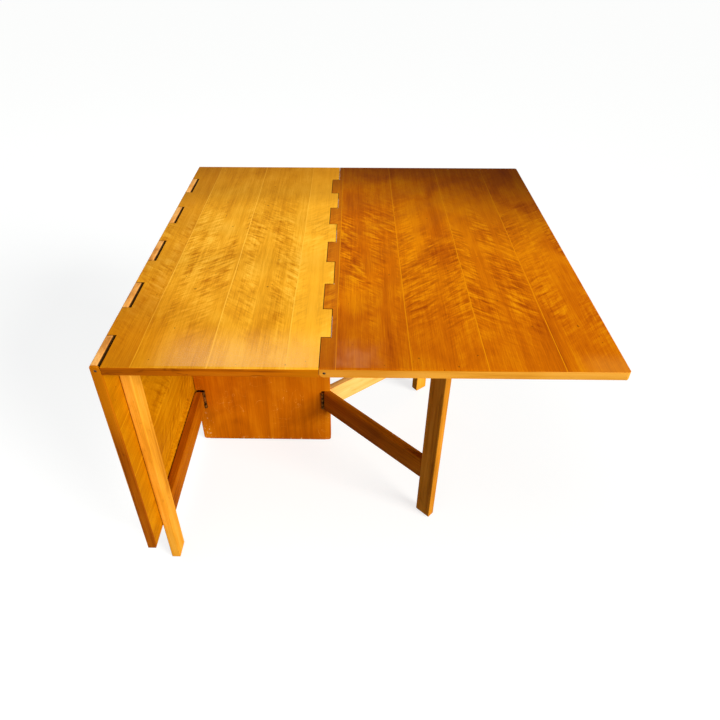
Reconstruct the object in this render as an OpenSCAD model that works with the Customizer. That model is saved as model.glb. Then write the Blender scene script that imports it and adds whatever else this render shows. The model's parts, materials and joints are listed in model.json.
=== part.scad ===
// Drop leaf table: a centre board on an upright panel, two leaves on rods through finger joints,
// and four gates that swing out from the panel's edges to carry the leaves.
// X runs from the left leaf to the right leaf, Y from the front to the back and Z up.
// The origin is on the floor under the middle of the panel.
// The left leaf hangs with its gates folded; the right leaf is up, resting on its open gates.

/* [Overall] */
// Height of the table top above the floor
table_height = 730; // [600:1:900]
// Depth of the boards, from front to back
table_depth = 1015; // [800:5:1300]
// Distance between the two hinge rods
rod_spacing = 441; // [360:1:560]
// Distance from a hinge rod to its leaf's outer edge
leaf_reach = 585; // [450:5:640]

/* [Boards] */
// Thickness of the centre board and the leaves
board_t = 20; // [16:0.5:26]
// Number of fingers along one seam, shared by a board and its leaf
finger_count = 10; // [6:2:14]
// Gap between neighbouring fingers, and between a finger's tip and its seat
seam_gap = 0.8; // [0.5:0.1:1.5]
// Radius of a hinge rod
rod_r = 3; // [2:0.1:4]
// Thickness of the solid lippings round the boards
lipping_t = 6; // [4:0.5:12]
// Radius of a leaf's outer corners, seen from above
leaf_corner_r = 7; // [3:0.5:14]
// Radius under the leaf's outer edge
edge_under_r = 7; // [3:0.5:9]
// Radius on top of the leaf's outer edge
edge_top_r = 2; // [1:0.5:4]

/* [Panel] */
// Thickness of the upright panel
panel_t = 20; // [16:0.5:28]
// Distance from the panel's side edge to the hanging leaf
panel_leaf_gap = 2; // [1:0.5:6]
// Radius of the panel's bottom corners
panel_corner_r = 9; // [3:1:20]
// Thickness of the runner under the panel
runner_t = 3; // [2:0.5:6]
// Side of the square battens that join the panel to the centre board
batten_side = 24; // [18:1:32]

/* [Gates] */
// Distance from a gate's hinge pin to the far side of its leg
gate_reach = 432; // [340:1:440]
// Thickness of a leg, across its gate
leg_t = 24; // [20:0.5:32]
// Width of a leg, along its gate
leg_w = 46; // [34:1:60]
// Radius of a leg's long arrises
leg_arris_r = 3; // [1:0.5:6]
// Radius of a foot's corner on the side of the hinge
foot_inner_r = 12; // [4:1:16]
// Radius of a foot's corner on the far side
foot_outer_r = 5; // [2:1:10]
// Radius of a foot's corners on the leg's two wide sides
foot_side_r = 7; // [2:1:9]
// Thickness of a rail
rail_t = 21; // [18:0.5:26]
// Height of a rail
rail_h = 72; // [50:1:90]
// Height of the lower rail's middle above the floor
lower_rail_z = 178; // [120:1:300]
// Distance from the underside of the boards to the upper rail
upper_rail_drop = 4; // [2:1:20]
// Gap between a leg's top and the underside of the boards
leg_top_gap = 0.5; // [0.4:0.1:2]
// Angle of the front gate on the open side, from folded
front_open_angle = 46.5; // [0:0.5:46.5]
// Angle of the back gate on the open side, from folded
back_open_angle = 53; // [0:0.5:53]

/* [Gate hinges] */
// Radius of a hinge's barrel
barrel_r = 3; // [2.5:0.1:4]
// Radius of a hinge's pin
pin_r = 1.2; // [1:0.05:1.6]
// Thickness of a hinge's plates
plate_t = 1.5; // [1:0.1:2]
// How much shorter a hinge is than its rail is high
hinge_inset = 6; // [2:1:16]
// Number of knuckles in a hinge
knuckle_count = 5; // [3:2:7]

/* [Small parts] */
// Radius of a foot's glide
glide_r = 5; // [4:0.5:8]
// Height of a foot's glide
glide_h = 2; // [1:0.5:4]
// Radius of a hinge screw's shank
hinge_screw_r = 1.2; // [0.9:0.1:1.6]
// Radius of a hinge screw's head
hinge_screw_head_r = 2.2; // [1.8:0.1:2.6]
// Length of a hinge screw
hinge_screw_l = 16; // [10:1:24]
// Radius of a batten screw's shank
batten_screw_r = 2; // [1.5:0.1:3]

/* [Hidden] */
$fn = 48;

// Running clearance of a pin or rod in the bore that turns on it.
running = 0.05;
// How far a cutting shape runs past the face it opens.
cut = 1;

// Boards: each rod lies at mid thickness, and a finger reaches as far past it as the board is deep below it.
half_t = board_t / 2;
rod_end_inset = 0.5;
rod_z = table_height - half_t;
rod_x = rod_spacing / 2;
shoulder = half_t + seam_gap;
finger_w = table_depth / finger_count;
underside_z = table_height - board_t;

// A batten screw goes through the batten and this share of the centre board's thickness.
screw_bite = 0.6;
batten_screw_l = batten_side + board_t * screw_bite;

// Gates: a folded leg stands clear of the hanging leaf, and its rail sits in the middle of the leg.
// The pins stand as far from the panel's middle as its faces ask, or as the rails that open both ways
// towards each other need for their rounded corners to pass.
leaf_inner_x = rod_x - half_t;
leg_clear = 1;
leg_outer_x = leaf_inner_x - leg_clear;
rail_outer_x = leg_outer_x - (leg_t - rail_t) / 2;
rail_off = barrel_r;
rail_corner_r = rail_t / 2;
open_rail_gap = 1.5;
turned_in = (turned_y(front_open_angle) + turned_y(back_open_angle)) / 2;
pin_x = rail_outer_x - rail_t - rail_off;
pin_y = max(panel_t / 2 + barrel_r, rail_corner_r + open_rail_gap / 2 + turned_in);
plate_face = barrel_r + 0.5;
notch_x = pin_x - plate_face;
notch_gap = 1.5;
panel_half_w = leaf_inner_x - panel_leaf_gap;
upper_rail_z = underside_z - upper_rail_drop - rail_h / 2;
leg_off = rail_off + (rail_t - leg_t) / 2;
leg_r0 = gate_reach - leg_w;
tenon_shoulder = 10;
tenon = [rail_t / 3, rail_h - 2 * tenon_shoulder, leg_w / 2];
glide_pin_r = 1.5;
glide_pin_l = 12;

// Hinges: the plates are as tall as the barrel, and the knuckles share its height. The screws' rows are
// shares of that height from its middle.
hinge_h = rail_h - hinge_inset;
knuckle_h = hinge_h / knuckle_count;
knuckle_gap = 0.3;
sweep_gap = 0.4;
plate_setback = 1;
fixed_plate_w = pin_y - plate_setback;
screw_rows = [-0.36, 0, 0.36];
pin_head_r = pin_r + 1;
pin_head_h = 0.8;

// Battens: their length is a share of the panel's width, and so is the place of their outer screws.
batten_l = 2 * panel_half_w * 0.7;
batten_screw_x = panel_half_w * 0.55;
runner_inset = 2;

WALNUT = "#8a5a22";
HONEY = "#d9a441";
AMBER = "#c27a1d";
PALE = "#e8bf73";
BRASS = "#b8923a";
STEEL = "#8f8d88";
FELT = "#3b332b";

// How far the middle of a rail's rounded corner lies past its pin when the gate is open by an angle.
function turned_y(angle) = (barrel_r + rail_corner_r) * (sin(angle) - cos(angle));

// A square corner to cut away so that an arc of radius r is left, with its centre at the origin.
module corner_waste(r) {
    difference() {
        square(r + cut);
        circle(r);
    }
}

// A leaf or board outline in X and Z, laid along the whole depth.
module along_depth(length = table_depth) {
    rotate([90, 0, 0]) linear_extrude(length, center = true) children();
}

// One finger seen from the front: square above the rod, rounded about the rod below it.
module finger_profile() {
    circle(half_t);
    translate([-half_t, 0]) square([half_t + shoulder + cut, half_t]);
    translate([0, -half_t]) square([shoulder + cut, board_t]);
}

// The fingers of one board along a seam that starts at the back; first is 0 or 1.
module fingers(first) {
    for (i = [first : 2 : finger_count - 1]) {
        back = i == 0 ? 0 : seam_gap / 2;
        front = i == finger_count - 1 ? 0 : seam_gap / 2;
        translate([0, table_depth / 2 - (i + 0.5) * finger_w + (front - back) / 2, 0])
            along_depth(finger_w - front - back) finger_profile();
    }
}

// A whole leaf lying flat, with its rod's axis along Y through the origin.
module leaf_blank() {
    difference() {
        union() {
            along_depth() difference() {
                translate([shoulder, -half_t]) square([leaf_reach - shoulder, board_t]);
                translate([leaf_reach - edge_under_r, -half_t + edge_under_r]) mirror([0, 1])
                    corner_waste(edge_under_r);
                translate([leaf_reach - edge_top_r, half_t - edge_top_r]) corner_waste(edge_top_r);
            }
            fingers(1);
        }
        for (end = [0, 1]) mirror([0, end, 0])
            translate([leaf_reach - leaf_corner_r, table_depth / 2 - leaf_corner_r, -board_t])
                linear_extrude(2 * board_t) corner_waste(leaf_corner_r);
        rotate([90, 0, 0]) cylinder(r = rod_r + running, h = table_depth + 2 * cut, center = true);
    }
}

// The whole centre board in place, with both rows of fingers.
module centre_blank() {
    difference() {
        union() {
            translate([0, 0, rod_z]) cube([2 * (rod_x - shoulder), table_depth, board_t], center = true);
            for (side = [0, 1]) mirror([side, 0, 0])
                translate([rod_x, 0, rod_z]) mirror([1, 0, 0]) fingers(0);
        }
        for (side = [-1, 1]) translate([side * rod_x, 0, rod_z]) rotate([90, 0, 0])
            cylinder(r = rod_r, h = table_depth + 2 * cut, center = true);
    }
}

// The strip of a board that its front or back lipping takes; end is 1 at the back, -1 at the front.
module end_strip(end) {
    long = 2 * (rod_spacing + leaf_reach);
    translate([0, end * (table_depth / 2 - lipping_t / 2 + cut / 2), 0])
        cube([long, lipping_t + cut, 4 * board_t], center = true);
}

// The strip of a leaf that its outer lipping takes, between the two end lippings.
module edge_strip() {
    translate([leaf_reach - lipping_t, -table_depth / 2 + lipping_t, -board_t])
        cube([lipping_t + cut, table_depth - 2 * lipping_t, 2 * board_t]);
}

// Puts a leaf that lies flat about its rod in place: the right one up, the left one hanging.
module place_right_leaf() {
    translate([rod_x, 0, rod_z]) children();
}
module place_left_leaf() {
    translate([-rod_x, 0, rod_z]) rotate([0, -90, 0]) mirror([1, 0, 0]) children();
}

// The parts of a leaf, each lying flat about the rod.
module leaf_board() {
    difference() {
        leaf_blank();
        end_strip(1);
        end_strip(-1);
        edge_strip();
    }
}
module leaf_end_lipping(end) {
    intersection() {
        leaf_blank();
        end_strip(end);
    }
}
module leaf_edge_lipping() {
    intersection() {
        leaf_blank();
        edge_strip();
    }
}

// A countersunk screw with its head's face at the origin, driven along +Z.
module wood_screw(r, head_r, length) {
    sink = head_r - r;
    rotate_extrude() polygon([
        [0, 0], [head_r, 0], [r, sink], [r, length - r], [0, length]
    ]);
}

// Puts a gate that is folded towards -Y, with its pin on the Z axis, in place.
// side is 1 for the right and -1 for the left; end is 1 for the back and -1 for the front.
module place_gate(side, end, angle) {
    mirror([side < 0 ? 1 : 0, 0, 0]) mirror([0, end > 0 ? 1 : 0, 0])
        translate([pin_x, -pin_y, 0]) rotate([0, 0, angle]) children();
}
module each_rail() {
    for (z = [lower_rail_z, upper_rail_z]) translate([0, 0, z]) children();
}

// A leg seen from above, then cut to its rounded foot, with mortises for both rails.
module leg() {
    z1 = underside_z - leg_top_gap;
    difference() {
        translate([leg_off, -gate_reach, glide_h]) linear_extrude(z1 - glide_h) difference() {
            square([leg_t, leg_w]);
            for (i = [0, 1], j = [0, 1])
                translate([i * leg_t, j * leg_w]) mirror([i, 0]) mirror([0, j])
                    translate([leg_arris_r, leg_arris_r]) rotate(180) corner_waste(leg_arris_r);
        }
        foot_waste(-leg_r0, foot_inner_r, 0);
        foot_waste(-gate_reach, foot_outer_r, 1);
        foot_side_waste();
        each_rail() rail_tenon();
        translate([leg_off + leg_t / 2, -leg_r0 - leg_w / 2, glide_h]) glide_pin();
    }
}

// The corner cut off the foot at y, so that an arc of radius r is left; flip turns it round.
module foot_waste(y, r, flip) {
    translate([leg_off - cut, y, glide_h]) rotate([90, 0, 90]) linear_extrude(leg_t + 2 * cut)
        mirror([flip, 0]) translate([-r, r]) mirror([0, 1]) corner_waste(r);
}

// The corners cut off the foot along the leg's two wide sides, so that an arc is left on each.
module foot_side_waste() {
    for (side = [0, 1])
        translate([leg_off + side * leg_t, -leg_r0 + cut, glide_h]) mirror([side, 0, 0])
            rotate([90, 0, 0]) linear_extrude(leg_w + 2 * cut)
                translate([foot_side_r, foot_side_r]) rotate(180) corner_waste(foot_side_r);
}

// A rail from its hinge to its leg, with its outer corner rounded at the hinge end.
module rail() {
    difference() {
        translate([rail_off, -leg_r0, -rail_h / 2]) cube([rail_t, leg_r0 - barrel_r, rail_h]);
        translate([rail_off + rail_t - rail_corner_r, -barrel_r - rail_corner_r, -rail_h])
            linear_extrude(2 * rail_h) corner_waste(rail_corner_r);
        rail_screws();
    }
    rail_tenon();
}
module rail_tenon() {
    translate([rail_off + rail_t / 2 - tenon[0] / 2, -leg_r0 - tenon[2], -tenon[1] / 2])
        cube([tenon[0], tenon[2], tenon[1]]);
}

// The domed glide under a foot and the pin that holds it.
module glide_pin() {
    cylinder(r = glide_pin_r, h = glide_pin_l);
}
module glide() {
    translate([leg_off + leg_t / 2, -leg_r0 - leg_w / 2, 0]) {
        rotate_extrude() polygon([[0, 0], [glide_r - glide_h / 2, 0], [glide_r, glide_h], [0, glide_h]]);
        translate([0, 0, glide_h]) glide_pin();
    }
}

// Knuckle i of a hinge's barrel, and the room for it between its neighbours.
module knuckle(i) {
    translate([0, 0, -hinge_h / 2 + i * knuckle_h])
        cylinder(r = barrel_r, h = knuckle_h - knuckle_gap);
}
module knuckle_room(i) {
    translate([0, 0, -hinge_h / 2 + i * knuckle_h - knuckle_gap])
        cylinder(r = barrel_r + sweep_gap, h = knuckle_h + knuckle_gap);
}

// The hinge plate on the panel's edge, with the outer knuckles, about the pin's axis.
module panel_plate() {
    difference() {
        union() {
            translate([-plate_face, 0, -hinge_h / 2])
                cube([plate_t, fixed_plate_w, hinge_h - knuckle_gap]);
            for (i = [0 : 2 : knuckle_count - 1]) {
                knuckle(i);
                translate([-plate_face, -plate_t / 2, -hinge_h / 2 + i * knuckle_h])
                    cube([plate_face - (barrel_r + pin_r) / 2, plate_t, knuckle_h - knuckle_gap]);
            }
        }
        for (i = [1 : 2 : knuckle_count - 1]) knuckle_room(i);
        cylinder(r = pin_r + running, h = 2 * hinge_h, center = true);
        panel_screws();
    }
}
module panel_screws() {
    for (row = screw_rows)
        translate([plate_t - plate_face, (barrel_r + fixed_plate_w) / 2, row * hinge_h])
            rotate([0, -90, 0]) wood_screw(hinge_screw_r, hinge_screw_head_r, hinge_screw_l);
}

// The hinge plate on a rail's end, with the inner knuckles, about the pin's axis.
module rail_plate() {
    difference() {
        union() {
            translate([0, -barrel_r, -hinge_h / 2])
                cube([rail_off + rail_t - rail_corner_r, plate_t, hinge_h - knuckle_gap]);
            for (i = [1 : 2 : knuckle_count - 1]) knuckle(i);
        }
        for (i = [0 : 2 : knuckle_count - 1]) knuckle_room(i);
        cylinder(r = pin_r + running, h = 2 * hinge_h, center = true);
        rail_screws();
    }
}
module rail_screws() {
    for (row = screw_rows)
        translate([rail_off + (rail_t - rail_corner_r) / 2, plate_t - barrel_r, row * hinge_h])
            rotate([90, 0, 0]) wood_screw(hinge_screw_r, hinge_screw_head_r, hinge_screw_l);
}

// A hinge's pin, with a button head that sits on the top knuckle.
module hinge_pin() {
    top = hinge_h / 2 - knuckle_gap;
    translate([0, 0, -hinge_h / 2]) cylinder(r = pin_r, h = top + hinge_h / 2 + pin_head_h);
    translate([0, 0, top]) cylinder(r = pin_head_r, h = pin_head_h);
}

// Screws through both battens into the centre board.
module batten_screw_rows() {
    for (end = [-1, 1], x = [-1, 0, 1])
        translate([x * batten_screw_x, end * (panel_t + batten_side) / 2, underside_z - batten_side])
            wood_screw(batten_screw_r, batten_screw_r * 2, batten_screw_l);
}
module batten(end) {
    color(PALE) difference() {
        translate([0, end * (panel_t + batten_side) / 2, underside_z - batten_side / 2])
            cube([batten_l, batten_side, batten_side], center = true);
        batten_screw_rows();
    }
}

// The fixed side.
module centre_board() {
    color(HONEY) difference() {
        centre_blank();
        end_strip_in_place(1);
        end_strip_in_place(-1);
        batten_screw_rows();
    }
}
module end_strip_in_place(end) {
    translate([0, 0, rod_z]) end_strip(end);
}
module centre_lipping(end) {
    color(AMBER) intersection() {
        centre_blank();
        end_strip_in_place(end);
    }
}
module hinge_rod(side) {
    color(STEEL) translate([side * rod_x, 0, rod_z]) rotate([90, 0, 0])
        cylinder(r = rod_r, h = table_depth - 2 * rod_end_inset, center = true);
}
module panel() {
    color(AMBER) difference() {
        along_depth(panel_t) difference() {
            translate([-panel_half_w, runner_t]) square([2 * panel_half_w, underside_z - runner_t]);
            for (side = [0, 1]) mirror([side, 0]) {
                translate([panel_half_w - panel_corner_r, runner_t + panel_corner_r]) mirror([0, 1])
                    corner_waste(panel_corner_r);
                translate([notch_x, lower_rail_z - rail_h / 2 - notch_gap])
                    square([panel_half_w, rail_h + 2 * notch_gap]);
                translate([notch_x, upper_rail_z - rail_h / 2 - notch_gap])
                    square([panel_half_w, rail_h * 2]);
            }
        }
        for (side = [-1, 1], end = [-1, 1]) place_gate(side, end, 0) each_rail() panel_screws();
    }
}
module panel_runner() {
    long = 2 * (panel_half_w - 2 * panel_corner_r);
    wide = panel_t - 2 * runner_inset;
    color(FELT) translate([-long / 2, -wide / 2, 0]) cube([long, wide, runner_t]);
}

// Angle at which each gate stands, by its side and end.
function gate_angle(side, end) = side < 0 ? 0 : (end < 0 ? front_open_angle : back_open_angle);

module hinge_plates(side, end) {
    color(BRASS) place_gate(side, end, 0) each_rail() panel_plate();
}
module hinge_pins(side, end) {
    color(BRASS) place_gate(side, end, 0) each_rail() hinge_pin();
}
module gate_leg(side, end) {
    color(WALNUT) place_gate(side, end, gate_angle(side, end)) leg();
}
module gate_rail(side, end, z) {
    color(WALNUT) place_gate(side, end, gate_angle(side, end)) translate([0, 0, z]) rail();
}
module gate_glide(side, end) {
    color(FELT) place_gate(side, end, gate_angle(side, end)) glide();
}
module gate_rail_plates(side, end) {
    color(BRASS) place_gate(side, end, gate_angle(side, end)) each_rail() rail_plate();
}
module gate_rail_screws(side, end) {
    color(BRASS) place_gate(side, end, gate_angle(side, end)) each_rail() rail_screws();
}

centre_board();
centre_lipping(-1);  // centre_lipping_front
centre_lipping(1);  // centre_lipping_back
hinge_rod(-1);  // hinge_rod_left
hinge_rod(1);  // hinge_rod_right
panel();
panel_runner();
batten(-1);  // batten_front
batten(1);  // batten_back
color(STEEL) batten_screw_rows();  // batten_screws

hinge_plates(-1, -1);  // hinge_plates_front_left
hinge_plates(-1, 1);  // hinge_plates_back_left
hinge_plates(1, -1);  // hinge_plates_front_right
hinge_plates(1, 1);  // hinge_plates_back_right
hinge_pins(-1, -1);  // hinge_pins_front_left
hinge_pins(-1, 1);  // hinge_pins_back_left
hinge_pins(1, -1);  // hinge_pins_front_right
hinge_pins(1, 1);  // hinge_pins_back_right
color(BRASS)  // panel_hinge_screws
    for (side = [-1, 1], end = [-1, 1]) place_gate(side, end, 0) each_rail() panel_screws();

color(HONEY) place_left_leaf() leaf_board();  // left_leaf_board
color(PALE) place_left_leaf() leaf_end_lipping(-1);  // left_leaf_lipping_front
color(PALE) place_left_leaf() leaf_end_lipping(1);  // left_leaf_lipping_back
color(PALE) place_left_leaf() leaf_edge_lipping();  // left_leaf_lipping_edge

color(AMBER) place_right_leaf() leaf_board();  // right_leaf_board
color(PALE) place_right_leaf() leaf_end_lipping(-1);  // right_leaf_lipping_front
color(PALE) place_right_leaf() leaf_end_lipping(1);  // right_leaf_lipping_back
color(PALE) place_right_leaf() leaf_edge_lipping();  // right_leaf_lipping_edge

gate_leg(-1, -1);  // front_left_leg
gate_rail(-1, -1, lower_rail_z);  // front_left_lower_rail
gate_rail(-1, -1, upper_rail_z);  // front_left_upper_rail
gate_glide(-1, -1);  // front_left_glide
gate_rail_plates(-1, -1);  // front_left_rail_plates
gate_rail_screws(-1, -1);  // front_left_rail_screws

gate_leg(-1, 1);  // back_left_leg
gate_rail(-1, 1, lower_rail_z);  // back_left_lower_rail
gate_rail(-1, 1, upper_rail_z);  // back_left_upper_rail
gate_glide(-1, 1);  // back_left_glide
gate_rail_plates(-1, 1);  // back_left_rail_plates
gate_rail_screws(-1, 1);  // back_left_rail_screws

gate_leg(1, -1);  // front_right_leg
gate_rail(1, -1, lower_rail_z);  // front_right_lower_rail
gate_rail(1, -1, upper_rail_z);  // front_right_upper_rail
gate_glide(1, -1);  // front_right_glide
gate_rail_plates(1, -1);  // front_right_rail_plates
gate_rail_screws(1, -1);  // front_right_rail_screws

gate_leg(1, 1);  // back_right_leg
gate_rail(1, 1, lower_rail_z);  // back_right_lower_rail
gate_rail(1, 1, upper_rail_z);  // back_right_upper_rail
gate_glide(1, 1);  // back_right_glide
gate_rail_plates(1, 1);  // back_right_rail_plates
gate_rail_screws(1, 1);  // back_right_rail_screws
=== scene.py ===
# A drop leaf table in honey and amber veneer: a centre board on an upright panel, a leaf on each
# side that turns on a rod through its fingers, and four gates that swing out to carry the leaves.
import json
import math

import bmesh
import bpy
import numpy as np
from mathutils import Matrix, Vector


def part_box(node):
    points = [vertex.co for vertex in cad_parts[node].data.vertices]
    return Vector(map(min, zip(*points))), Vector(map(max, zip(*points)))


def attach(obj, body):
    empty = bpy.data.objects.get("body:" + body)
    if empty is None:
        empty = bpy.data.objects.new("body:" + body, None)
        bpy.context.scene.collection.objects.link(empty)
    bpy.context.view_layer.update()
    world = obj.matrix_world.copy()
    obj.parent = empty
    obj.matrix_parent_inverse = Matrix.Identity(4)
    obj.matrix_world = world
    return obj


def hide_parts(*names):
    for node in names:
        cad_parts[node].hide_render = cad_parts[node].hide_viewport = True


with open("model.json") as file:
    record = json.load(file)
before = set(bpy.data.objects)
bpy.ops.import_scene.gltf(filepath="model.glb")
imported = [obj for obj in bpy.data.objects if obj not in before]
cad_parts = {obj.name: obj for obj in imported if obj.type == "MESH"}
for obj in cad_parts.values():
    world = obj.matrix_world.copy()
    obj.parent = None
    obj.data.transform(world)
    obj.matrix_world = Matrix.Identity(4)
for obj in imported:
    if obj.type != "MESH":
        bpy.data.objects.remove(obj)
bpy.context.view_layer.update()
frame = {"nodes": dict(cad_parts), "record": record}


# ---------------------------------------------------------------------------------------------
# The studio: a pale floor that runs out of sight, low even light from the right front as from a
# tall window, a soft lamp overhead, and one behind that gives the near edge of the top its sheen.
def display(red, green, blue):
    """A colour given out of 255 on a display, as the linear colour that shaders use."""
    channels = [c / 255 for c in (red, green, blue)]
    linear = [c / 12.92 if c <= 0.04045 else ((c + 0.055) / 1.055) ** 2.4 for c in channels]
    return (*linear, 1)


def soft_light(name, place, target, size, power, colour):
    """A rectangular lamp of this size in metres and power in watts, turned to its target."""
    lamp = bpy.data.lights.new(name, "AREA")
    lamp.shape = "RECTANGLE"
    lamp.size, lamp.size_y = size
    lamp.energy = power
    lamp.color = display(*colour)[:3]
    light = bpy.data.objects.new(name, lamp)
    light.location = place
    light.rotation_euler = (Vector(target) - Vector(place)).to_track_quat("-Z", "Y").to_euler()
    bpy.context.collection.objects.link(light)


window = bpy.data.lights.new("window_light", "SUN")
window.energy = 4.5
window.angle = math.radians(30)
window.color = display(255, 248, 236)[:3]
window_way = Vector((-0.76, 0.53, -0.36))
window_light = bpy.data.objects.new("window_light", window)
window_light.rotation_euler = window_way.to_track_quat("-Z", "Y").to_euler()
bpy.context.collection.objects.link(window_light)
soft_light("ceiling_light", (-0.5, -0.9, 3.2), (0.0, -0.1, 0.7), (2.2, 2.0), 40, (255, 250, 240))
soft_light("sheen_light", (-0.75, 2.3, 2.75), (0.0, -0.46, 0.73), (0.8, 0.4), 5, (250, 248, 255))

world = bpy.data.worlds.new("studio")
world.use_nodes = True
world.node_tree.nodes["Background"].inputs["Color"].default_value = (1, 0.98, 0.95, 1)
world.node_tree.nodes["Background"].inputs["Strength"].default_value = 0.17
bpy.context.scene.world = world
bpy.context.scene.view_settings.view_transform = "Standard"

floor_half = 30
floor_drop = 0.0004
floor_corners = (-1, -1), (1, -1), (1, 1), (-1, 1)
floor_mesh = bpy.data.meshes.new("floor")
floor_mesh.from_pydata(
    [(x * floor_half, y * floor_half, -floor_drop) for x, y in floor_corners],
    [], [(0, 1, 2, 3)])
floor = bpy.data.objects.new("floor", floor_mesh)
bpy.context.collection.objects.link(floor)
floor_finish = bpy.data.materials.new("pale_floor")
floor_finish.use_nodes = True
floor_tree = floor_finish.node_tree
floor_shader = floor_tree.nodes["Principled BSDF"]
floor_shader.inputs["Base Color"].default_value = (0.325, 0.35, 0.372, 1)
floor_shader.inputs["Roughness"].default_value = 1
floor_shader.inputs["Specular IOR Level"].default_value = 0
floor_glow = floor_tree.nodes.new("ShaderNodeEmission")
floor_glow.inputs["Strength"].default_value = 0.75
floor_sum = floor_tree.nodes.new("ShaderNodeAddShader")
floor_seen = floor_tree.nodes.new("ShaderNodeMixShader")
floor_path = floor_tree.nodes.new("ShaderNodeLightPath")
floor_tree.links.new(floor_shader.outputs["BSDF"], floor_sum.inputs[0])
floor_tree.links.new(floor_glow.outputs["Emission"], floor_sum.inputs[1])
floor_tree.links.new(floor_path.outputs["Is Camera Ray"], floor_seen.inputs["Fac"])
floor_tree.links.new(floor_shader.outputs["BSDF"], floor_seen.inputs[1])
floor_tree.links.new(floor_sum.outputs["Shader"], floor_seen.inputs[2])
floor_surface = floor_tree.nodes["Material Output"].inputs["Surface"]
floor_tree.links.new(floor_seen.outputs["Shader"], floor_surface)
floor_mesh.materials.append(floor_finish)

camera_data = bpy.data.cameras.new("camera")
camera_data.sensor_width = 36
camera_data.lens = 29.92
camera_data.shift_x = 0.0221
camera_data.shift_y = -0.0464
camera = bpy.data.objects.new("camera", camera_data)
camera.location = (0.2716, -1.3762, 1.4730)
camera.rotation_euler = (math.radians(53.59), 0, math.radians(0.84))
bpy.context.collection.objects.link(camera)
bpy.context.scene.camera = camera


# ---------------------------------------------------------------------------------------------
# The centre board: a core board faced with four strips of figured veneer, matched at their seams
# and laid with the grain from front to back. Its fingers are cut through veneer and core.
class Value:
    """A number that varies over a finish. Arithmetic on it adds Math nodes."""

    def __init__(self, finish, socket):
        self.finish, self.socket = finish, socket

    def math(self, operation, *others):
        sockets = dict(enumerate((self,) + others))
        return self.finish.node("ShaderNodeMath", {"operation": operation}, sockets)["Value"]

    def __add__(self, other):
        return self.math("ADD", other)

    def __sub__(self, other):
        return self.math("SUBTRACT", other)

    def __rsub__(self, other):
        return (self * -1) + other

    def __mul__(self, other):
        return self.math("MULTIPLY", other)

    def __abs__(self):
        return self.math("ABSOLUTE")

    __radd__ = __add__
    __rmul__ = __mul__

    def rise(self, low, high):
        """0 at low and 1 at high, with a smooth step between. Where high is the lower, it falls."""
        ends = {"From Min": min(low, high), "From Max": max(low, high)}
        if high < low:
            ends.update({"To Min": 1, "To Max": 0})
        settings = {"interpolation_type": "SMOOTHSTEP"}
        return self.finish.node("ShaderNodeMapRange", settings, {"Value": self, **ends})["Result"]


class Finish:
    """One material while it is put together, on a piece whose grain runs along a direction."""

    def __init__(self, name, along=(0, 1, 0), across=(1, 0, 0), up=(0, 0, 1), start=(0, 0, 0)):
        self.material = bpy.data.materials.new(name)
        self.material.use_nodes = True
        self.tree = self.material.node_tree
        self.shader = self.tree.nodes["Principled BSDF"]
        place = self.node("ShaderNodeTexCoord", {}, {})["Object"]
        from_start = {"operation": "SUBTRACT"}
        place = self.node("ShaderNodeVectorMath", from_start, {0: place, 1: start})["Vector"]
        measured_along = {"operation": "DOT_PRODUCT"}
        self.across, self.along, self.up = [
            self.node("ShaderNodeVectorMath", measured_along, {0: place, 1: way})["Value"]
            for way in (across, along, up)]

    def node(self, kind, settings, sockets):
        """Adds a node: settings first, then a value or a link for each socket named or numbered."""
        node = self.tree.nodes.new(kind)
        for key, value in settings.items():
            if key == "stops":
                elements = node.color_ramp.elements
                while len(elements) < len(value):
                    elements.new(0.5)
                for stop, (position, colour) in zip(elements, value):
                    stop.position, stop.color = position, colour
            else:
                setattr(node, key, value)
        for key, value in sockets.items():
            socket = node.inputs[key] if isinstance(key, int) else next(
                s for s in node.inputs if s.name == key and s.enabled)
            if isinstance(value, Value):
                self.tree.links.new(value.socket, socket)
            else:
                socket.default_value = value
        return {s.name: Value(self, s) for s in node.outputs if s.enabled}

    def noise(self, across, along, up, detail=3.0, rough=0.55, seed=0.0, bend=0.0, x=None, y=None):
        """Noise from 0 to 1 with about this many features a metre each way."""
        x = self.across if x is None else x
        y = self.along if y is None else y
        point = self.node("ShaderNodeCombineXYZ", {}, {
            "X": x * across + seed, "Y": y * along + seed * 2, "Z": self.up * up})["Vector"]
        return self.node("ShaderNodeTexNoise", {}, {
            "Vector": point, "Scale": 1.0, "Detail": detail, "Roughness": rough,
            "Distortion": bend})["Fac"]

    def arris(self):
        """1 on the rounded arrises of an eased piece and 0 elsewhere."""
        return self.node("ShaderNodeAttribute", {"attribute_name": "arris"}, {})["Fac"]

    def ramp(self, value, *stops):
        """A colour that follows a value through these stops."""
        return self.node("ShaderNodeValToRGB", {"stops": stops}, {"Fac": value})["Color"]

    def mix(self, share, first, second, blend="MIX"):
        """Goes from the first colour to the second as share goes from 0 to 1."""
        settings = {"data_type": "RGBA", "blend_type": blend, "clamp_factor": True}
        sockets = {"Factor": share, "A": first, "B": second}
        return self.node("ShaderNodeMix", settings, sockets)["Result"]

    def bump(self, height, strength, distance):
        """The normal of a surface that stands up to this many metres proud."""
        sockets = {"Height": height, "Strength": strength, "Distance": distance}
        return self.node("ShaderNodeBump", {}, sockets)["Normal"]

    def done(self, sockets, **constants):
        """Wires what varies to the shader. Constants go on the shader's own sockets."""
        for name, value in sockets.items():
            self.tree.links.new(value.socket, self.shader.inputs[name])
        for name, value in constants.items():
            self.shader.inputs[name.replace("_", " ")].default_value = value
        return self.material


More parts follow.
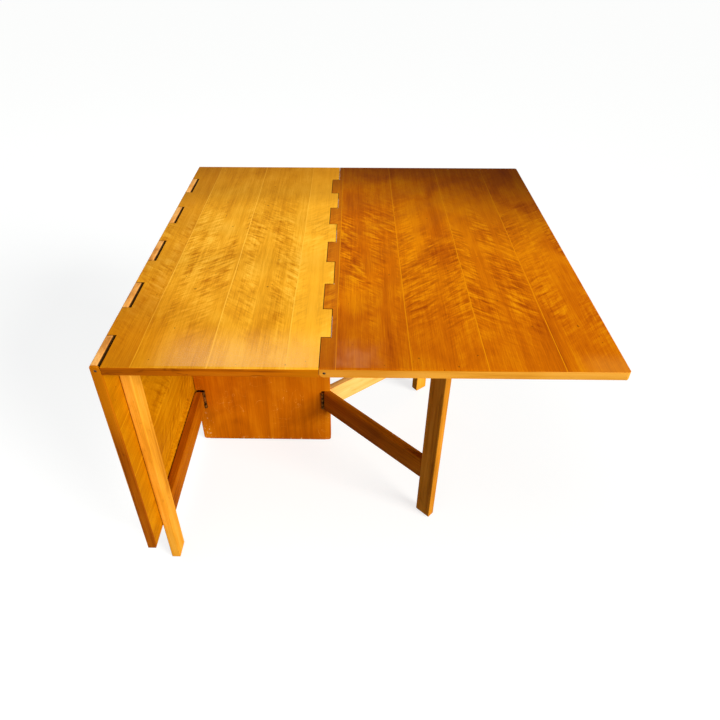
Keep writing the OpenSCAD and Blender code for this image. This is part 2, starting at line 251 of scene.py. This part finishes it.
board_low, board_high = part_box("centre_board")
half_t = (board_high.z - board_low.z) / 2
joint_of = {joint["name"]: joint for joint in frame["record"]["behaviour"]["joints"]}
left_rod, right_rod = (Vector(joint_of[side + "_leaf_lift"]["pos_m"]) for side in ("left", "right"))
rod_x, rod_z = right_rod.x, right_rod.z
strip_pitch = 0.147
seam_line_w = 0.0014
seam_wander = 0.004
ripple_lean = math.radians(40)
figure_middle = -0.08
bare_figure = 0.12
pore_relief = 0.18
pore_depth = 0.0006
oiled = {"Specular_IOR_Level": 0.03, "Coat_Roughness": 0.34}


def figured_veneer(finish, light, middle, dark, seams, mirror_at, pitch, figure, seed):
    """Colour, fibre and clouding of veneer whose ripples lean the other way past every seam."""
    strip = (finish.across - mirror_at).math("DIVIDE", pitch).math("FLOOR")
    mirrored = (finish.across - mirror_at).math("PINGPONG", pitch)
    lean_x, lean_y = math.cos(ripple_lean), math.sin(ripple_lean)
    along_ripple = mirrored * lean_x - finish.along * lean_y + strip * 0.83
    across_ripple = finish.along * lean_x + mirrored * lean_y
    ripple = finish.noise(19, 92, 0, 1.5, 0.5, seed, 0.6, x=along_ripple, y=across_ripple)
    feather = finish.noise(44, 210, 0, 1.0, 0.5, seed + 7, 0.4, x=along_ripple, y=across_ripple)
    column = finish.noise(19, 2.4, 0, 1.0, 0.5, seed + 3, 0.5, x=mirrored + strip * 0.31)
    fibre = finish.noise(560, 16, 560, 4.0, 0.74, seed)
    stripe = finish.noise(60, 0.9, 60, 3.0, 0.62, seed + 11)
    cloud = finish.noise(13, 7, 13, 2.0, 0.5, seed + 13, 0.6)
    middle_depth = abs(finish.along - figure_middle).rise(0.40, 0.12)
    shown = column.rise(0.34, 0.58) * (middle_depth * (1 - bare_figure) + bare_figure) * figure
    tone = (0.5 + (ripple - 0.5) * shown * 1.35 + (feather - 0.5) * shown * 0.8
            + (fibre - 0.5) * 0.62 + (stripe - 0.5) * 0.42 + (cloud - 0.5) * 0.5)
    colour = finish.ramp(tone, (0.2, dark), (0.5, middle), (0.8, light))
    pores = finish.noise(1500, 60, 1500, 1.0, 0.5, seed + 5).rise(0.62, 0.72)
    colour = finish.mix(pores * 0.35, colour, dark)
    for seam in seams:
        wander = (finish.noise(0, 5, 0, 1.0, 0.5, seed + 17) - 0.5) * seam_wander
        line = abs(finish.across - seam + wander).rise(seam_line_w, seam_line_w * 0.4)
        colour = finish.mix(line * 0.8, colour, light)
    specks = finish.noise(140, 90, 140, 0.0, 0.5, seed + 19).rise(0.86, 0.88)
    colour = finish.mix(specks * 0.6, colour, display(90, 40, 4))
    return colour, fibre, cloud


gap_fade = 0.0004
# Nearly black painted shade for the walls of the narrow gaps between fingers.
gap_shade_colour = display(34, 16, 4)


def shade_finger_gaps(finish, colour, inner, outer, sheltered=1):
    """Darkens the walls between fingers and their rounded arrises with painted shade, from inner to
    outer across.
    """
    depth = half_t - finish.up
    wall = depth.rise(0.0002, 0.0010) * (finish.up + half_t).rise(0.0001, 0.0006)
    zone = finish.across.rise(inner, inner + gap_fade) * finish.across.rise(outer, outer - gap_fade)
    gap_shade_share = (wall + finish.arris() * 0.9).math("MINIMUM", 1) * zone * sheltered
    return finish.mix(gap_shade_share * 0.95, colour, gap_shade_colour)


def honey_veneer(finish):
    """The centre board's veneer: golden, browner on the left strip and paler on the right one, with
    painted shade towards the far end and at the near left.
    """
    seams = (-0.153, -0.006, 0.146)
    seam_fade = 0.0008
    colour, fibre, cloud = figured_veneer(
        finish, display(250, 194, 70), display(226, 160, 32), display(180, 108, 4),
        seams, seams[1], seams[2] - seams[1], 0.62, 3.0)
    left_strip = finish.across.rise(seams[0] + seam_fade, seams[0] - seam_fade)
    right_strip = finish.across.rise(seams[2] - seam_fade, seams[2] + seam_fade)
    browned_left = left_strip * (cloud.rise(0.3, 0.7) * 0.45 + 0.1)
    colour = finish.mix(browned_left, colour, display(192, 116, 8))
    colour = finish.mix(right_strip * 0.4, colour, display(250, 184, 50))
    # Painted shade: darker towards the far end, and darker and more saturated at the near left.
    far_end_shade = finish.along.rise(0.1, 0.52)
    colour = finish.mix(far_end_shade * 0.8, colour, display(192, 174, 140), "MULTIPLY")
    near_left_shade = finish.along.rise(-0.1, -0.45) * finish.across.rise(0.05, -0.18)
    colour = finish.mix(near_left_shade * 0.9, colour, display(226, 202, 90), "MULTIPLY")
    near_glare = finish.along.rise(-0.36, -0.49) * abs(finish.across - 0.06).rise(0.20, 0.10)
    return colour, fibre, cloud, near_glare


honey = Finish("honey_veneer_top", start=(0, 0, rod_z))
colour, fibre, cloud, near_glare = honey_veneer(honey)
finger_gap = 0.0008
shoulder_x = rod_x - half_t - finger_gap
# Painted shade in the gaps between the centre board's fingers and the leaves' fingers.
colour = shade_finger_gaps(honey, colour, shoulder_x - gap_fade, 1)
past_rod = honey.across + rod_x
below_rod = honey.up.math("MINIMUM", 0)
from_rod = (past_rod * past_rod + below_rod * below_rod).math("SQRT")
inside_tip = from_rod.rise(half_t, half_t - 0.0008) + past_rod.rise(0, 0.004)
colour = shade_finger_gaps(honey, colour, -1, -shoulder_x + gap_fade, inside_tip.math("MINIMUM", 1))
grit = honey.noise(900, 260, 900, 2.0, 0.7, 23.0)
colour = honey.mix(near_glare * grit.rise(0.25, 0.75) * 0.6, colour, display(216, 168, 122))
honey_material = honey.done({
    "Base Color": colour, "Roughness": cloud * 0.2 + fibre * 0.12 + 0.34,
    "Coat Weight": near_glare * grit.rise(0.3, 0.7) * 0.5 + 0.01,
    "Normal": honey.bump(fibre + grit * 0.3, pore_relief, pore_depth)}, **oiled)


def mesh_of(node):
    """A copy of a CAD node's mesh with its doubles merged and its flat faces made whole again."""
    shape = bmesh.new()
    shape.from_mesh(frame["nodes"][node].data)
    bmesh.ops.remove_doubles(shape, verts=shape.verts, dist=1e-5)
    bmesh.ops.dissolve_limit(
        shape, angle_limit=math.radians(0.4), use_dissolve_boundaries=False,
        verts=shape.verts, edges=shape.edges)
    return shape


shortest_arris = 0.004
sharpest_angle = math.radians(35)
room_share = 0.7
bodies = frame["record"]["behaviour"]["bodies"]
body_of = {node: body for body, nodes in bodies.items() for node in nodes}


def sharp_arrises(shape, radius, glued):
    """The long sharp edges with room for the radius, except those that are glued up."""
    return [e for e in shape.edges
            if e.is_manifold and e.is_convex and e.calc_length() > shortest_arris
            and e.calc_face_angle() > sharpest_angle
            and min(n.calc_length() for v in e.verts for n in v.link_edges) > radius * room_share
            and not (glued and glued((e.verts[0].co + e.verts[1].co) / 2))]


def eased(node, material, radius, glued=None):
    """The node again with its long sharp arrises sanded round."""
    shape = mesh_of(node)
    on_arris = shape.faces.layers.float.new("arris")
    rounded = bmesh.ops.bevel(
        shape, geom=sharp_arrises(shape, radius, glued), offset=radius, offset_type="OFFSET",
        segments=3, profile=0.5, affect="EDGES", clamp_overlap=False)
    for face in rounded["faces"]:
        face[on_arris] = 1
    mesh = bpy.data.meshes.new(node + "_eased")
    shape.to_mesh(mesh)
    shape.free()
    mesh.shade_smooth()
    mesh.set_sharp_from_angle(angle=sharpest_angle)
    mesh.materials.append(material)
    piece = bpy.data.objects.new(node + "_eased", mesh)
    bpy.context.collection.objects.link(piece)
    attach(piece, body_of[node])
    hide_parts(node)
    return piece


top_low, top_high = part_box("centre_lipping_front")
lipping_t = top_high.y - top_low.y
front_joint = top_low.y + lipping_t
glue_line = 0.0002


def at_end_joint(middle):
    """Whether a point lies on the glue line between a board and its front or back lipping."""
    return abs(abs(middle.y) - abs(front_joint)) < glue_line


board_arris = 0.0007
eased("centre_board", honey_material, board_arris, at_end_joint)


# ---------------------------------------------------------------------------------------------
# The right leaf: the same board as the centre, in a redder amber veneer of four matched strips.
# Its fingers interlock with the centre board's and turn on a steel rod through both.
leaf_seams = (0.242, 0.389, 0.536, 0.683)
edge_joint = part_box("right_leaf_board")[1].x


def amber_veneer(finish):
    """The right leaf's veneer: golden along its middle, with painted shade towards the far right
    corner and at the near left.
    """
    colour, fibre, cloud = figured_veneer(
        finish, display(236, 150, 4), display(205, 108, 0), display(160, 68, 0),
        leaf_seams, leaf_seams[0], strip_pitch, 0.85, 12.0)
    golden = abs(finish.along - 0.05).rise(0.4, 0.05) * finish.across.rise(0.3, 0.45)
    colour = finish.mix(golden * cloud.rise(0.2, 0.7) * 0.5, colour, display(228, 138, 2))
    finger_strip = finish.across.rise(leaf_seams[0], leaf_seams[0] - 0.001)
    colour = finish.mix(finger_strip * 0.4, colour, display(196, 116, 20))
    # Painted shade: darker towards the far right corner and at the near left.
    far_right_shade = finish.along + (finish.across - 0.5) * 0.35
    colour = finish.mix(far_right_shade.rise(-0.02, 0.58), colour, display(132, 122, 90), "MULTIPLY")
    near_left_shade = finish.along.rise(-0.2, -0.5) * finish.across.rise(0.55, 0.25)
    colour = finish.mix(near_left_shade * 0.7, colour, display(216, 196, 160), "MULTIPLY")
    pale_corner = finish.along.rise(-0.44, -0.49) * finish.across.rise(0.70, 0.76)
    colour = finish.mix(pale_corner * 0.35, colour, display(236, 156, 50))
    return colour, fibre, cloud


amber = Finish("amber_veneer_top", start=(0, 0, rod_z))
colour, fibre, cloud = amber_veneer(amber)
# Painted shade in the gaps between the right leaf's fingers.
colour = shade_finger_gaps(amber, colour, 0, rod_x + half_t + finger_gap + gap_fade)
# Painted reflection: a whitish, blotched patch of sheen near the front left of the leaf, with a
# little real coat gloss on it too.
sheen_patch_depth = amber.along.rise(-0.40, -0.46)
sheen_patch = sheen_patch_depth * amber.across.rise(0.36, 0.27) * amber.across.rise(0.235, 0.25)
blotches = amber.noise(26, 18, 0, 2.0, 0.6, 29.0).rise(0.35, 0.7)
colour = amber.mix(sheen_patch * blotches * 0.3, colour, display(214, 142, 90))
amber_material = amber.done({
    "Base Color": colour, "Roughness": cloud * 0.2 + fibre * 0.12 + 0.36,
    "Coat Weight": sheen_patch * 0.2 + 0.01,
    "Normal": amber.bump(fibre, pore_relief, pore_depth)}, **oiled)


def at_leaf_joint(middle):
    """Whether a point lies on a glue line between the right leaf's board and its lippings."""
    return at_end_joint(middle) or abs(middle.x - edge_joint) < glue_line


eased("right_leaf_board", amber_material, board_arris, at_leaf_joint)

# ---------------------------------------------------------------------------------------------
# The left leaf hangs from its rod beside the panel. Its veneer matches the right leaf's, and its
# knuckles are rubbed pale where hands lift it, with painted shade in the gap behind them.
hang = {"along": (0, 1, 0), "across": (0, 0, -1), "up": (-1, 0, 0),
        "start": (left_rod.x, 0, rod_z + rod_x)}


def hanging_veneer(finish):
    """The left leaf's veneer, a plainer piece of the same wood."""
    return figured_veneer(
        finish, display(218, 148, 12), display(188, 116, 0), display(150, 82, 0),
        leaf_seams[1:], leaf_seams[0], strip_pitch, 0.5, 31.0)


hanging = Finish("amber_veneer_hanging", **hang)
colour, fibre, cloud = hanging_veneer(hanging)
knuckle_top = hanging.across.rise(rod_x + 0.002, rod_x - 0.004)
rubbed = hanging.noise(50, 16, 50, 3.0, 0.6, 33.0)
rubbed_colour = hanging.ramp(rubbed, (0.25, display(150, 84, 26)), (0.45, display(216, 148, 70)),
                             (0.75, display(246, 192, 116)))
colour = hanging.mix(knuckle_top, colour, rubbed_colour)
knuckle = hanging.across.rise(rod_x + 0.001, rod_x - 0.001)
# Painted shade, nearly black, in the gap behind the knuckles and on their arrises.
behind = hanging.up.rise(-half_t * 0.3, -half_t * 0.5) * knuckle
knuckle_gap_shade = (behind + hanging.arris() * knuckle * 0.8).math("MINIMUM", 1)
colour = hanging.mix(knuckle_gap_shade * 0.96, colour, display(26, 12, 2))
hanging_material = hanging.done({
    "Base Color": colour, "Roughness": cloud * 0.2 + fibre * 0.12 + 0.36,
    "Normal": hanging.bump(fibre, pore_relief, pore_depth)}, **oiled)
hanging_edge_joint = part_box("left_leaf_board")[0].z


def at_hanging_joint(middle):
    """Whether a point lies on a glue line between the left leaf's board and its lippings."""
    return at_end_joint(middle) or abs(middle.z - hanging_edge_joint) < glue_line


eased("left_leaf_board", hanging_material, board_arris, at_hanging_joint)


# ---------------------------------------------------------------------------------------------
# The lippings: strips of solid wood glued round the boards' edges under the veneer, with the grain
# along them. The centre board's are browned by hands, and the raised leaf's are pale.
veneer_t = 0.0006
veneer_line = 0.0002


def solid_grain(finish, light, middle, dark, seed, wear, lengthwise=True):
    """The colour, fibre and clouding of straight-grained solid wood with a few darker marks."""
    x, y = (finish.across, finish.along) if lengthwise else (finish.along, finish.across)
    fibre = finish.noise(700, 16, 700, 4.0, 0.65, seed, 0, x, y)
    growth = finish.noise(110, 2.4, 110, 3.0, 0.6, seed + 2, 0.4, x, y)
    cloud = finish.noise(12, 5, 12, 2.0, 0.5, seed + 4, 0.5, x, y)
    tone = 0.5 + (fibre - 0.5) * 0.55 + (growth - 0.5) * 0.8 + (cloud - 0.5) * 0.7
    colour = finish.ramp(tone, (0.15, dark), (0.5, middle), (0.85, light))
    marks = finish.noise(70, 22, 70, 2.0, 0.6, seed + 6, 0.8, x, y).rise(0.60, 0.74) * wear
    return finish.mix(marks, colour, dark), fibre, cloud


def browned(finish):
    """How brown a lipping has gone: most near the rod, and darker in a line just under the veneer.
    """
    under_veneer_line = (finish.up - half_t + 0.0016).rise(-0.0006, 0.0002)
    under_veneer_line = under_veneer_line * abs(finish.across - 0.48).rise(0.17, 0.12)
    near_rod = finish.across.rise(0.46, 0.30) * finish.across.rise(0.1, 0.2)
    return (near_rod * 0.6 + under_veneer_line).math("MINIMUM", 1)


def lipping(name, veneer, tones, seed, wear, lengthwise, **place):
    """Solid wood up to the underside of the veneer that runs over it."""
    finish = Finish(name, **place)
    wood, fibre, cloud = solid_grain(finish, *tones, seed, wear, lengthwise)
    veneer_low = half_t - veneer_t
    covered = finish.up.rise(veneer_low - veneer_line, veneer_low + veneer_line)
    wood = finish.mix(browned(finish), wood, display(196, 116, 2))
    colour = finish.mix(covered, wood, veneer(finish)[0])
    return finish.done({
        "Base Color": colour, "Roughness": cloud * 0.2 + fibre * 0.12 + 0.34,
        "Normal": finish.bump(fibre, pore_relief, 0.0005)}, **oiled)


brown_tones = display(208, 118, 12), display(180, 92, 0), display(112, 50, 0)
pale_tones = display(252, 188, 86), display(238, 166, 54), display(198, 118, 12)
hanging_tones = display(184, 104, 10), display(152, 76, 0), display(104, 44, 0)
flat = {"start": (0, 0, rod_z)}
brown_lipping = lipping("brown_lipping", honey_veneer, brown_tones, 41.0, 0.8, False, **flat)
pale_end_lipping = lipping("pale_end_lipping", amber_veneer, pale_tones, 43.0, 0.25, False, **flat)
pale_edge_lipping = lipping("pale_edge_lipping", amber_veneer, pale_tones, 45.0, 0.25, True, **flat)
hanging_end_lipping = lipping(
    "hanging_end_lipping", hanging_veneer, hanging_tones, 47.0, 0.5, False, **hang)
hanging_edge_lipping = lipping(
    "hanging_edge_lipping", hanging_veneer, pale_tones, 49.0, 0.25, True, **hang)
for node, material, glued in (
        ("centre_lipping_front", brown_lipping, at_end_joint),
        ("centre_lipping_back", brown_lipping, at_end_joint),
        ("right_leaf_lipping_front", pale_end_lipping, at_leaf_joint),
        ("right_leaf_lipping_back", pale_end_lipping, at_leaf_joint),
        ("right_leaf_lipping_edge", pale_edge_lipping, at_leaf_joint),
        ("left_leaf_lipping_front", hanging_end_lipping, at_hanging_joint),
        ("left_leaf_lipping_back", hanging_end_lipping, at_hanging_joint),
        ("left_leaf_lipping_edge", hanging_edge_lipping, at_hanging_joint)):
    eased(node, material, board_arris, glued)

# ---------------------------------------------------------------------------------------------
# The upright panel: veneered board with the grain upright, scratched by feet and chipped along its
# bottom edge. Two battens screwed from below join it to the centre board, over a felt runner.
upright = Finish("panel_veneer_upright", (0, 0, 1), (1, 0, 0), (0, 1, 0))
panel_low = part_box("panel")[0]
fibre = upright.noise(420, 9, 420, 4.0, 0.68, 51.0)
stripe = upright.noise(46, 1.6, 46, 3.0, 0.62, 53.0)
cloud = upright.noise(7, 5, 7, 3.0, 0.55, 55.0, 0.8)
tone = 0.5 + (fibre - 0.5) * 0.45 + (stripe - 0.5) * 0.55 + (cloud - 0.5) * 0.7
colour = upright.ramp(
    tone, (0.2, display(164, 76, 0)), (0.5, display(202, 106, 0)), (0.8, display(230, 138, 14)))
scratch_path = upright.noise(14, 14, 14, 1.0, 0.5, 57.0, 1.5)
scratched = upright.noise(9, 9, 0, 1.0, 0.5, 58.0).rise(0.46, 0.56)
scratches = abs(scratch_path - 0.52).rise(0.0032, 0.0012) * scratched
colour = upright.mix(scratches * 0.8, colour, display(246, 176, 80))
above_floor = upright.along - panel_low.z
near_corner = (upright.across - panel_low.x).rise(0.05, 0.01) * above_floor.rise(0.16, 0.02)
near_edge = above_floor.rise(0.014, 0.002)
knocked = (near_corner * 0.8 + near_edge).math("MINIMUM", 1)
chips = upright.noise(120, 90, 120, 2.0, 0.7, 59.0).rise(0.62, 0.66) * knocked
colour = upright.mix(chips * 0.8, colour, display(244, 206, 140))
panel_material = upright.done({
    "Base Color": colour, "Roughness": cloud * 0.2 + fibre * 0.12 + 0.36,
    "Normal": upright.bump(fibre - chips, pore_relief, pore_depth)}, **oiled)
panel_arris = 0.0014
eased("panel", panel_material, panel_arris)


def plain_wood(name, tones, along, across, up, seed, wear, roughness=0.4):
    """A finish of oiled solid wood with its grain along one direction."""
    finish = Finish(name, along, across, up)
    colour, fibre, cloud = solid_grain(finish, *tones, seed, wear)
    return finish.done({
        "Base Color": colour, "Roughness": cloud * 0.2 + fibre * 0.12 + roughness,
        "Normal": finish.bump(fibre, 0.2, 0.0005)}, **oiled)


def finish_node(node, material):
    """Gives a CAD node that stays as it is its real finish."""
    for each in frame["nodes"][node].material_slots:
        each.material = material


batten_tones = display(240, 190, 110), display(222, 162, 80), display(180, 118, 46)
batten_wood = plain_wood("batten_wood", batten_tones, (1, 0, 0), (0, 1, 0), (0, 0, 1), 61.0, 0.1)
batten_arris = 0.001
eased("batten_front", batten_wood, batten_arris)
eased("batten_back", batten_wood, batten_arris)
felt = Finish("runner_felt")
nap = felt.noise(900, 900, 900, 3.0, 0.7, 63.0)
felt_material = felt.done({
    "Base Color": felt.ramp(nap, (0.3, display(38, 30, 24)), (0.7, display(82, 66, 52))),
    "Normal": felt.bump(nap, 0.5, 0.0008)}, Roughness=0.95)
finish_node("panel_runner", felt_material)


# ---------------------------------------------------------------------------------------------
# The gates: each is a leg with two rails tenoned into it, in solid wood with the grain along each
# piece. They fold flat beside the panel's edges and swing out under the leaves.
def span(joint):
    """How far a gate turns between its limits."""
    low, high = joint_of[joint]["range_deg"]
    return high - low


gate_wear = 0.35
gate_rough = 0.38
leg_arris = 0.0015
rail_arris = 0.0018
# Each gate's tones are partly the wood's own variation and partly painted light: the red and dark
# sets on the rails of the left gates and the front right gate are darkened as painted shade, and
# the pale set on the back right gate's rails is lightened as painted light.
golden_sticks = display(250, 184, 72), display(230, 156, 40), display(182, 106, 10)
shade_red_sticks = display(196, 118, 12), display(164, 84, 0), display(112, 48, 0)
brown_sticks = display(228, 160, 56), display(204, 130, 28), display(146, 84, 4)
shade_dark_sticks = display(204, 128, 24), display(176, 98, 4), display(118, 58, 0)
lit_pale_sticks = display(255, 206, 130), display(244, 182, 94), display(206, 132, 40)
sticks = {"front_left": (golden_sticks, shade_red_sticks), "back_left": (golden_sticks, shade_red_sticks),
          "front_right": (brown_sticks, shade_dark_sticks), "back_right": (golden_sticks, lit_pale_sticks)}
for end, forward in (("front", -1), ("back", 1)):
    open_angle = math.radians(span(end + "_right_gate_swing") - span(end + "_left_gate_swing"))
    for side, angle in (("left", 0), ("right", open_angle)):
        gate = end + "_" + side
        reach = (math.sin(angle), forward * math.cos(angle), 0)
        sideways = (math.cos(angle), -forward * math.sin(angle), 0)
        seed = 71.0 + 9 * forward + 3 * (side == "left")
        leg_tones, rail_tones = sticks[gate]
        upward = (0, 0, 1)
        leg_wood = plain_wood(
            gate + "_leg_wood", leg_tones, upward, reach, sideways, seed, gate_wear, gate_rough)
        rail_wood = plain_wood(
            gate + "_rail_wood", rail_tones, reach, upward, sideways, seed + 1,
            gate_wear, gate_rough)
        eased(gate + "_leg", leg_wood, leg_arris)
        eased(gate + "_lower_rail", rail_wood, rail_arris)
        eased(gate + "_upper_rail", rail_wood, rail_arris)


# ---------------------------------------------------------------------------------------------
# The metal: turned steel rods in the finger seams, and brass butt hinges between panel and rails,
# browned with age.
def metal(name, bright, dull, seed, rough):
    """Brushed metal that has tarnished in patches."""
    finish = Finish(name)
    brushed = finish.noise(300, 300, 1800, 3.0, 0.6, seed)
    tarnish = finish.noise(110, 110, 110, 3.0, 0.65, seed + 1)
    return finish.done({
        "Base Color": finish.mix(tarnish.rise(0.38, 0.62), bright, dull),
        "Roughness": brushed * 0.2 + tarnish * 0.25 + rough,
        "Normal": finish.bump(brushed, 0.1, 0.0002)}, Metallic=1)


steel = metal("rod_steel", display(150, 140, 126), display(66, 58, 50), 81.0, 0.3)
brass = metal("hinge_brass", display(190, 136, 60), display(48, 32, 16), 85.0, 0.3)
for node in frame["nodes"]:
    if "hinge_rod" in node:
        finish_node(node, steel)
    elif "hinge_pl" in node or "hinge_pi" in node or "rail_plates" in node:
        finish_node(node, brass)


# ---------------------------------------------------------------------------------------------
# The screws: countersunk, with a cross recess, in brass through the hinges' plates and in steel
# through the battens. Each set is driven where the frame has it, and no two recesses line up.
def islands(node):
    """The corners of each separate solid of a CAD node."""
    shape = mesh_of(node)
    left, found = set(shape.verts), []
    while left:
        todo, seen = [left.pop()], []
        while todo:
            corner = todo.pop()
            seen.append(corner)
            near = {e.other_vert(corner) for e in corner.link_edges} & left
            left -= near
            todo.extend(near)
        found.append(np.array([v.co for v in seen]))
    shape.free()
    return found


head_plane = 0.0001


def screw_places(node):
    """The head's middle, the driven direction, the head's radius and the length of each screw."""
    places = []
    for corners in islands(node):
        middle = corners.mean(0)
        way = np.linalg.svd(corners - middle)[2][0]
        reach = (corners - middle) @ way
        if np.sum(reach > reach.max() - head_plane) > np.sum(reach < reach.min() + head_plane):
            way, reach = -way, -reach
        head = corners[reach < reach.min() + head_plane]
        places.append((head.mean(0), way, np.linalg.norm(head - head.mean(0), axis=1).max(),
                       reach.max() - reach.min()))
    return places


def screw_tree(material):
    """Geometry Nodes that put a countersunk screw with a cross recess on every point."""
    tree = bpy.data.node_groups.new("countersunk_screws", "GeometryNodeTree")
    tree.interface.new_socket("Geometry", in_out="INPUT", socket_type="NodeSocketGeometry")
    for name in ("Head radius", "Shank radius", "Length"):
        tree.interface.new_socket(name, in_out="INPUT", socket_type="NodeSocketFloat")
    tree.interface.new_socket("Geometry", in_out="OUTPUT", socket_type="NodeSocketGeometry")
    given = tree.nodes.new("NodeGroupInput")

    def add(kind, settings, sockets):
        node = tree.nodes.new(kind)
        for key, value in settings.items():
            setattr(node, key, value)
        for key, value in sockets.items():
            socket = node.inputs[key] if isinstance(key, int) else next(
                s for s in node.inputs if s.name == key and s.enabled)
            if isinstance(value, bpy.types.NodeSocket):
                tree.links.new(value, socket)
            else:
                socket.default_value = value
        return next(s for s in node.outputs if s.enabled)

    def number(operation, first, second):
        return add("ShaderNodeMath", {"operation": operation}, {0: first, 1: second})

    head_r, shank_r, length = (given.outputs[n] for n in ("Head radius", "Shank radius", "Length"))
    sink = number("SUBTRACT", head_r, shank_r)
    head = add("GeometryNodeMeshCone", {}, {
        "Vertices": 24, "Radius Top": shank_r, "Radius Bottom": head_r, "Depth": sink})
    shank = add("GeometryNodeMeshCone", {}, {
        "Vertices": 24, "Radius Top": number("MULTIPLY", shank_r, 0.15), "Radius Bottom": shank_r,
        "Depth": number("SUBTRACT", length, sink)})
    up = add("ShaderNodeCombineXYZ", {}, {"Z": number("MULTIPLY", sink, 0.99)})
    shank = add("GeometryNodeTransform", {}, {"Geometry": shank, "Translation": up})
    bars = []
    for turned in (False, True):
        long, thin = number("MULTIPLY", head_r, 1.1), number("MULTIPLY", head_r, 0.26)
        size = add("ShaderNodeCombineXYZ", {}, {
            "X": thin if turned else long, "Y": long if turned else thin,
            "Z": number("MULTIPLY", sink, 1.2)})
        bars.append(add("GeometryNodeMeshCube", {}, {"Size": size}))
    cut = tree.nodes.new("GeometryNodeMeshBoolean")
    cut.operation = "DIFFERENCE"
    tree.links.new(head, cut.inputs["Mesh 1"])
    for bar in bars:
        tree.links.new(bar, cut.inputs["Mesh 2"])
    join = tree.nodes.new("GeometryNodeJoinGeometry")
    tree.links.new(cut.outputs["Mesh"], join.inputs["Geometry"])
    tree.links.new(shank, join.inputs["Geometry"])
    way = add("GeometryNodeInputNamedAttribute", {"data_type": "FLOAT_VECTOR"}, {"Name": "way"})
    aligned = add("FunctionNodeAlignRotationToVector", {"axis": "Z"}, {"Vector": way})
    turns = {"Min": 0.0, "Max": math.pi, "Seed": 7}
    spin = add("FunctionNodeRandomValue", {"data_type": "FLOAT"}, turns)
    twist = add("FunctionNodeAxisAngleToRotation", {}, {"Axis": (0, 0, 1), "Angle": spin})
    facing = add("FunctionNodeRotateRotation", {"rotation_space": "LOCAL"}, {0: aligned, 1: twist})
    placed = add("GeometryNodeInstanceOnPoints", {}, {
        "Points": given.outputs["Geometry"], "Instance": join.outputs["Geometry"],
        "Rotation": facing})
    real = add("GeometryNodeRealizeInstances", {}, {"Geometry": placed})
    painted = add("GeometryNodeSetMaterial", {}, {"Geometry": real, "Material": material})
    tree.links.new(painted, tree.nodes.new("NodeGroupOutput").inputs["Geometry"])
    return tree


trees = {"steel": screw_tree(steel), "brass": screw_tree(brass)}
screw_share = 0.99
shank_share = 0.55
for node in [n for n in frame["nodes"] if n.endswith("_screws")]:
    kind = "steel" if node == "batten_screws" else "brass"
    places = screw_places(node)
    points = bpy.data.meshes.new(node + "_places")
    points.from_pydata([tuple(middle) for middle, *_ in places], [], [])
    ways = points.attributes.new("way", "FLOAT_VECTOR", "POINT")
    ways.data.foreach_set("vector", np.array([way for _, way, *_ in places], np.float32).ravel())
    holder = bpy.data.objects.new(node + "_places", points)
    bpy.context.collection.objects.link(holder)
    setting = holder.modifiers.new("screws", "NODES")
    setting.node_group = trees[kind]
    head_r, length = places[0][2:]
    sizes = {"Head radius": head_r * screw_share, "Shank radius": head_r * shank_share,
             "Length": length * screw_share}
    for item in trees[kind].interface.items_tree:
        if item.name in sizes:
            setting[item.identifier] = float(sizes[item.name])
    evaluated = holder.evaluated_get(bpy.context.evaluated_depsgraph_get())
    mesh = bpy.data.meshes.new_from_object(evaluated)
    bpy.data.objects.remove(holder)
    screws = bpy.data.objects.new(node + "_driven", mesh)
    bpy.context.collection.objects.link(screws)
    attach(screws, body_of[node])
    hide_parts(node)

# ---------------------------------------------------------------------------------------------
# The glides: dark plastic buttons on pins, pushed into the ends of the feet.
glide_finish = Finish("glide_plastic")
scuff = glide_finish.noise(260, 260, 260, 3.0, 0.6, 93.0)
glide_material = glide_finish.done({
    "Base Color": glide_finish.ramp(scuff, (0.35, display(30, 25, 22)), (0.7, display(66, 56, 48))),
    "Roughness": scuff * 0.3 + 0.4,
    "Normal": glide_finish.bump(scuff, 0.2, 0.0003)})
for node in frame["nodes"]:
    if node.endswith("_glide"):
        finish_node(node, glide_material)
